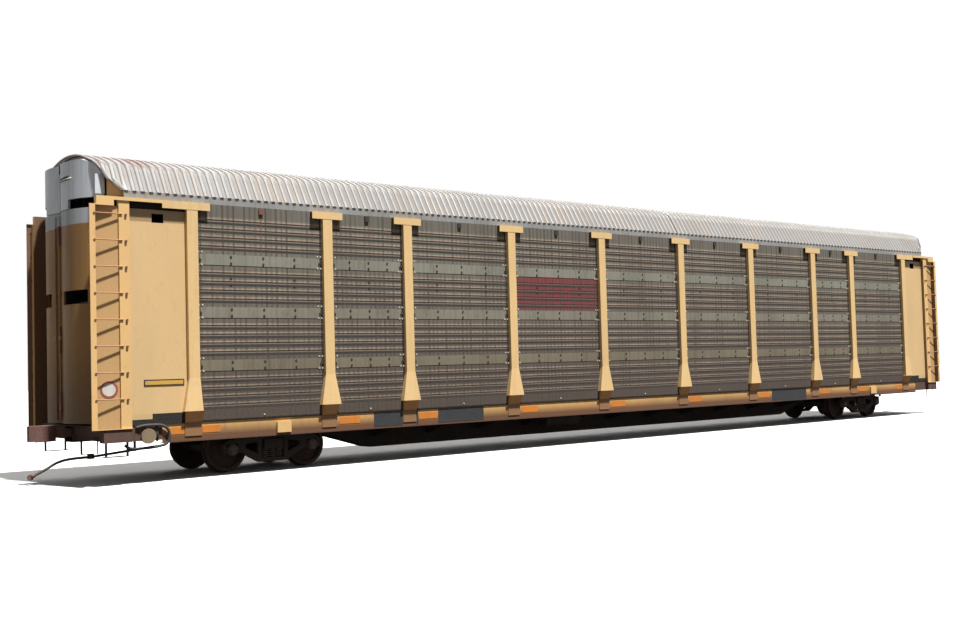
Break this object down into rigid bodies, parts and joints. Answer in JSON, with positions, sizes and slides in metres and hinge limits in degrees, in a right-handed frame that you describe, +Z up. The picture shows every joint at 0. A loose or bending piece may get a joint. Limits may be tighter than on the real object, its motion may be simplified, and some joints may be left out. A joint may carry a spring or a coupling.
{
  "type": "two-level enclosed autorack railway car",
  "caption": "Long enclosed railway car on two swivelling trucks, with two decks for motor cars, grooved side panels and rounded end doors that swing open.",
  "frame": {"origin": "on the ground plane under the middle of the car, at the height of the wheel flanges' lowest points", "axes": "+X along the car, +Y across it, +Z up"},
  "size_m": [28.7741, 3.256, 5.9272],
  "materials": {
    "yellow_paint": "weathered semi-gloss",
    "door_paint": "weathered semi-gloss",
    "silver_paint": "weathered satin",
    "galvanised": "weathered, rust stained",
    "roof_steel": "weathered galvanised sheet",
    "deck_steel": "worn dark",
    "underframe": "dirty matt",
    "truck_iron": "dirty matt",
    "wheel_steel": "rusty web with a worn bright tread",
    "axle_steel": "dull",
    "spring_steel": "dirty matt",
    "coupler_iron": "rusty",
    "hose_rubber": "dull"
  },
  "bodies": {
    "car": {"centre_sill": "underframe", "draft_sills": "underframe", "side_sill_near": "yellow_paint", "side_sill_far": "yellow_paint", "deck_lower": "deck_steel", "floor_bearers": "underframe", "body_bolsters": "underframe", "centre_plates": "underframe", "end_frames": "underframe", "posts_near": "yellow_paint", "posts_far": "yellow_paint", "panels_near": "galvanised", "panels_far": "galvanised", "pocket_panels": "yellow_paint", "corner_posts": "yellow_paint", "ladders": "yellow_paint", "ladder_rungs": "yellow_paint", "header_beams": "yellow_paint", "eave_rails": "galvanised", "roof_a": "roof_steel", "roof_b": "roof_steel", "end_closures": "silver_paint", "gable_plates": "yellow_paint", "door_pivot_beams": "underframe", "deck_upper": "deck_steel", "jack_pads": "yellow_paint", "sill_steps": "underframe", "brake_cylinder": "underframe", "air_reservoir": "underframe", "train_pipes": "underframe", "uncoupling_levers": "underframe", "air_hose": "hose_rubber", "hose_coupling_head": "coupler_iron"},
    "truck_1": {"side_frames_1": "truck_iron", "truck_bolster_1": "truck_iron", "springs_1": "spring_steel"},
    "truck_2": {"side_frames_2": "truck_iron", "truck_bolster_2": "truck_iron", "springs_2": "spring_steel"},
    "wheelset_1": {"wheels_1": "wheel_steel", "axle_1": "axle_steel"},
    "wheelset_2": {"wheels_2": "wheel_steel", "axle_2": "axle_steel"},
    "wheelset_3": {"wheels_3": "wheel_steel", "axle_3": "axle_steel"},
    "wheelset_4": {"wheels_4": "wheel_steel", "axle_4": "axle_steel"},
    "leaf_a_near": {"door_a_near": "door_paint"},
    "leaf_a_far": {"door_a_far": "door_paint"},
    "leaf_b_near": {"door_b_near": "door_paint"},
    "leaf_b_far": {"door_b_far": "door_paint"},
    "drawbar_a": {"coupler_a": "coupler_iron"},
    "drawbar_b": {"coupler_b": "coupler_iron"}
  },
  "joints": [
    {"name": "truck_1_swivel", "type": "hinge", "parent": "car", "child": "truck_1", "pos_m": [-10.0585, 0, 0.6804], "axis": [0, 0, 1], "range_deg": [-6, 6]},
    {"name": "truck_2_swivel", "type": "hinge", "parent": "car", "child": "truck_2", "pos_m": [10.0585, 0, 0.6804], "axis": [0, 0, 1], "range_deg": [-6, 6]},
    {"name": "wheelset_1_spin", "type": "hinge", "parent": "truck_1", "child": "wheelset_1", "pos_m": [-10.922, 0, 0.4444], "axis": [0, 1, 0], "continuous": true},
    {"name": "wheelset_2_spin", "type": "hinge", "parent": "truck_1", "child": "wheelset_2", "pos_m": [-9.195, 0, 0.4444], "axis": [0, 1, 0], "continuous": true},
    {"name": "wheelset_3_spin", "type": "hinge", "parent": "truck_2", "child": "wheelset_3", "pos_m": [9.195, 0, 0.4444], "axis": [0, 1, 0], "continuous": true},
    {"name": "wheelset_4_spin", "type": "hinge", "parent": "truck_2", "child": "wheelset_4", "pos_m": [10.922, 0, 0.4444], "axis": [0, 1, 0], "continuous": true},
    {"name": "leaf_a_near_swing", "type": "hinge", "parent": "car", "child": "leaf_a_near", "pos_m": [-12.699, -0.4, 1.0704], "axis": [0, 0, 1], "range_deg": [0, 70]},
    {"name": "leaf_a_far_swing", "type": "hinge", "parent": "car", "child": "leaf_a_far", "pos_m": [-12.699, 0.4, 1.0704], "axis": [0, 0, -1], "range_deg": [0, 70]},
    {"name": "leaf_b_near_swing", "type": "hinge", "parent": "car", "child": "leaf_b_near", "pos_m": [12.699, -0.4, 1.0704], "axis": [0, 0, -1], "range_deg": [0, 70]},
    {"name": "leaf_b_far_swing", "type": "hinge", "parent": "car", "child": "leaf_b_far", "pos_m": [12.699, 0.4, 1.0704], "axis": [0, 0, 1], "range_deg": [0, 70]},
    {"name": "drawbar_a_swing", "type": "hinge", "parent": "car", "child": "drawbar_a", "pos_m": [-12.9, 0, 0.9014], "axis": [0, 0, 1], "range_deg": [-7, 7]},
    {"name": "drawbar_b_swing", "type": "hinge", "parent": "car", "child": "drawbar_b", "pos_m": [12.9, 0, 0.9014], "axis": [0, 0, 1], "range_deg": [-7, 7]}
  ]
}
